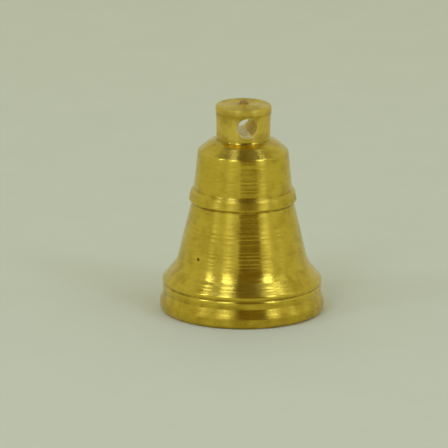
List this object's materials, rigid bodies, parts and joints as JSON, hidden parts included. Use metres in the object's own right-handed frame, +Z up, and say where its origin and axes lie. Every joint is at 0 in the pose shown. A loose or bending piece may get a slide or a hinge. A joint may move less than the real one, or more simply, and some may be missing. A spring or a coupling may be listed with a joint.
{
  "type": "miniature church bell",
  "caption": "Small turned brass church bell with a waist bead, flared mouth and a boss cross-drilled for hanging; a pinned clapper swings inside.",
  "frame": {"origin": "centre of the mouth's rim, on the plane that the bell stands on", "axes": "+Z up along the bell's axis to the boss; +Y along the cross hole, so the clapper swings in the XZ plane"},
  "size_m": [0.01, 0.01, 0.013],
  "materials": {
    "bell_brass": "bright from the lathe, with fine turning marks and a light mottled tarnish",
    "staple_brass": "satin, dulled",
    "pin_brass": "drawn wire",
    "clapper_brass": "satin, dulled"
  },
  "bodies": {
    "bell": {"bell_body": "bell_brass", "crown_staple": "staple_brass", "clapper_pin": "pin_brass"},
    "clapper": {"clapper_shank": "clapper_brass", "clapper_ball": "clapper_brass"}
  },
  "joints": [
    {"name": "clapper_swing", "type": "hinge", "parent": "bell", "child": "clapper", "pos_m": [0, 0, 0.00805], "axis": [0, 1, 0], "range_deg": [-22, 22]}
  ]
}
